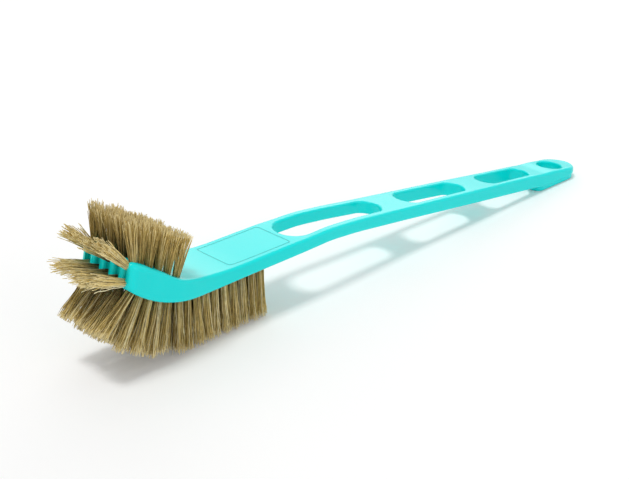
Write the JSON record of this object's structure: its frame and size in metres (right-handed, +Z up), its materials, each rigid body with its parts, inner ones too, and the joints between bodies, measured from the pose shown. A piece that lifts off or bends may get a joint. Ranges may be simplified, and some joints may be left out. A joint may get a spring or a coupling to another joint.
{
  "type": "toilet brush",
  "caption": "Toilet brush with a curved one-piece plastic handle and head, long slots and a hang hole, and fibre tufts under, over and round the upturned nose.",
  "frame": {"origin": "centre of the whole brush's box, on the floor that the bristles and the tail rest on", "axes": "+X from the nose of the head to the tail of the handle, +Y across the brush, +Z up"},
  "size_m": [0.4056, 0.0434, 0.0871],
  "materials": {
    "turquoise_plastic": "satin moulded plastic",
    "natural_fibre": "dull stiff natural fibre"
  },
  "bodies": {
    "root": {"brush_body": "turquoise_plastic", "under_tuft_row_01": "natural_fibre", "under_tuft_row_02": "natural_fibre", "under_tuft_row_03": "natural_fibre", "under_tuft_row_04": "natural_fibre", "under_tuft_row_05": "natural_fibre", "under_tuft_row_06": "natural_fibre", "under_tuft_row_07": "natural_fibre", "under_tuft_row_08": "natural_fibre", "under_tuft_row_09": "natural_fibre", "under_tuft_row_10": "natural_fibre", "under_tuft_row_11": "natural_fibre", "under_tuft_row_12": "natural_fibre", "under_tuft_row_13": "natural_fibre", "under_tuft_row_14": "natural_fibre", "under_tuft_row_15": "natural_fibre", "top_tuft_row_1": "natural_fibre", "top_tuft_row_2": "natural_fibre", "top_tuft_row_3": "natural_fibre", "top_tuft_row_4": "natural_fibre", "top_tuft_row_5": "natural_fibre", "front_tuft_row": "natural_fibre", "crown_tuft_rows": "natural_fibre"}
  },
  "joints": []
}
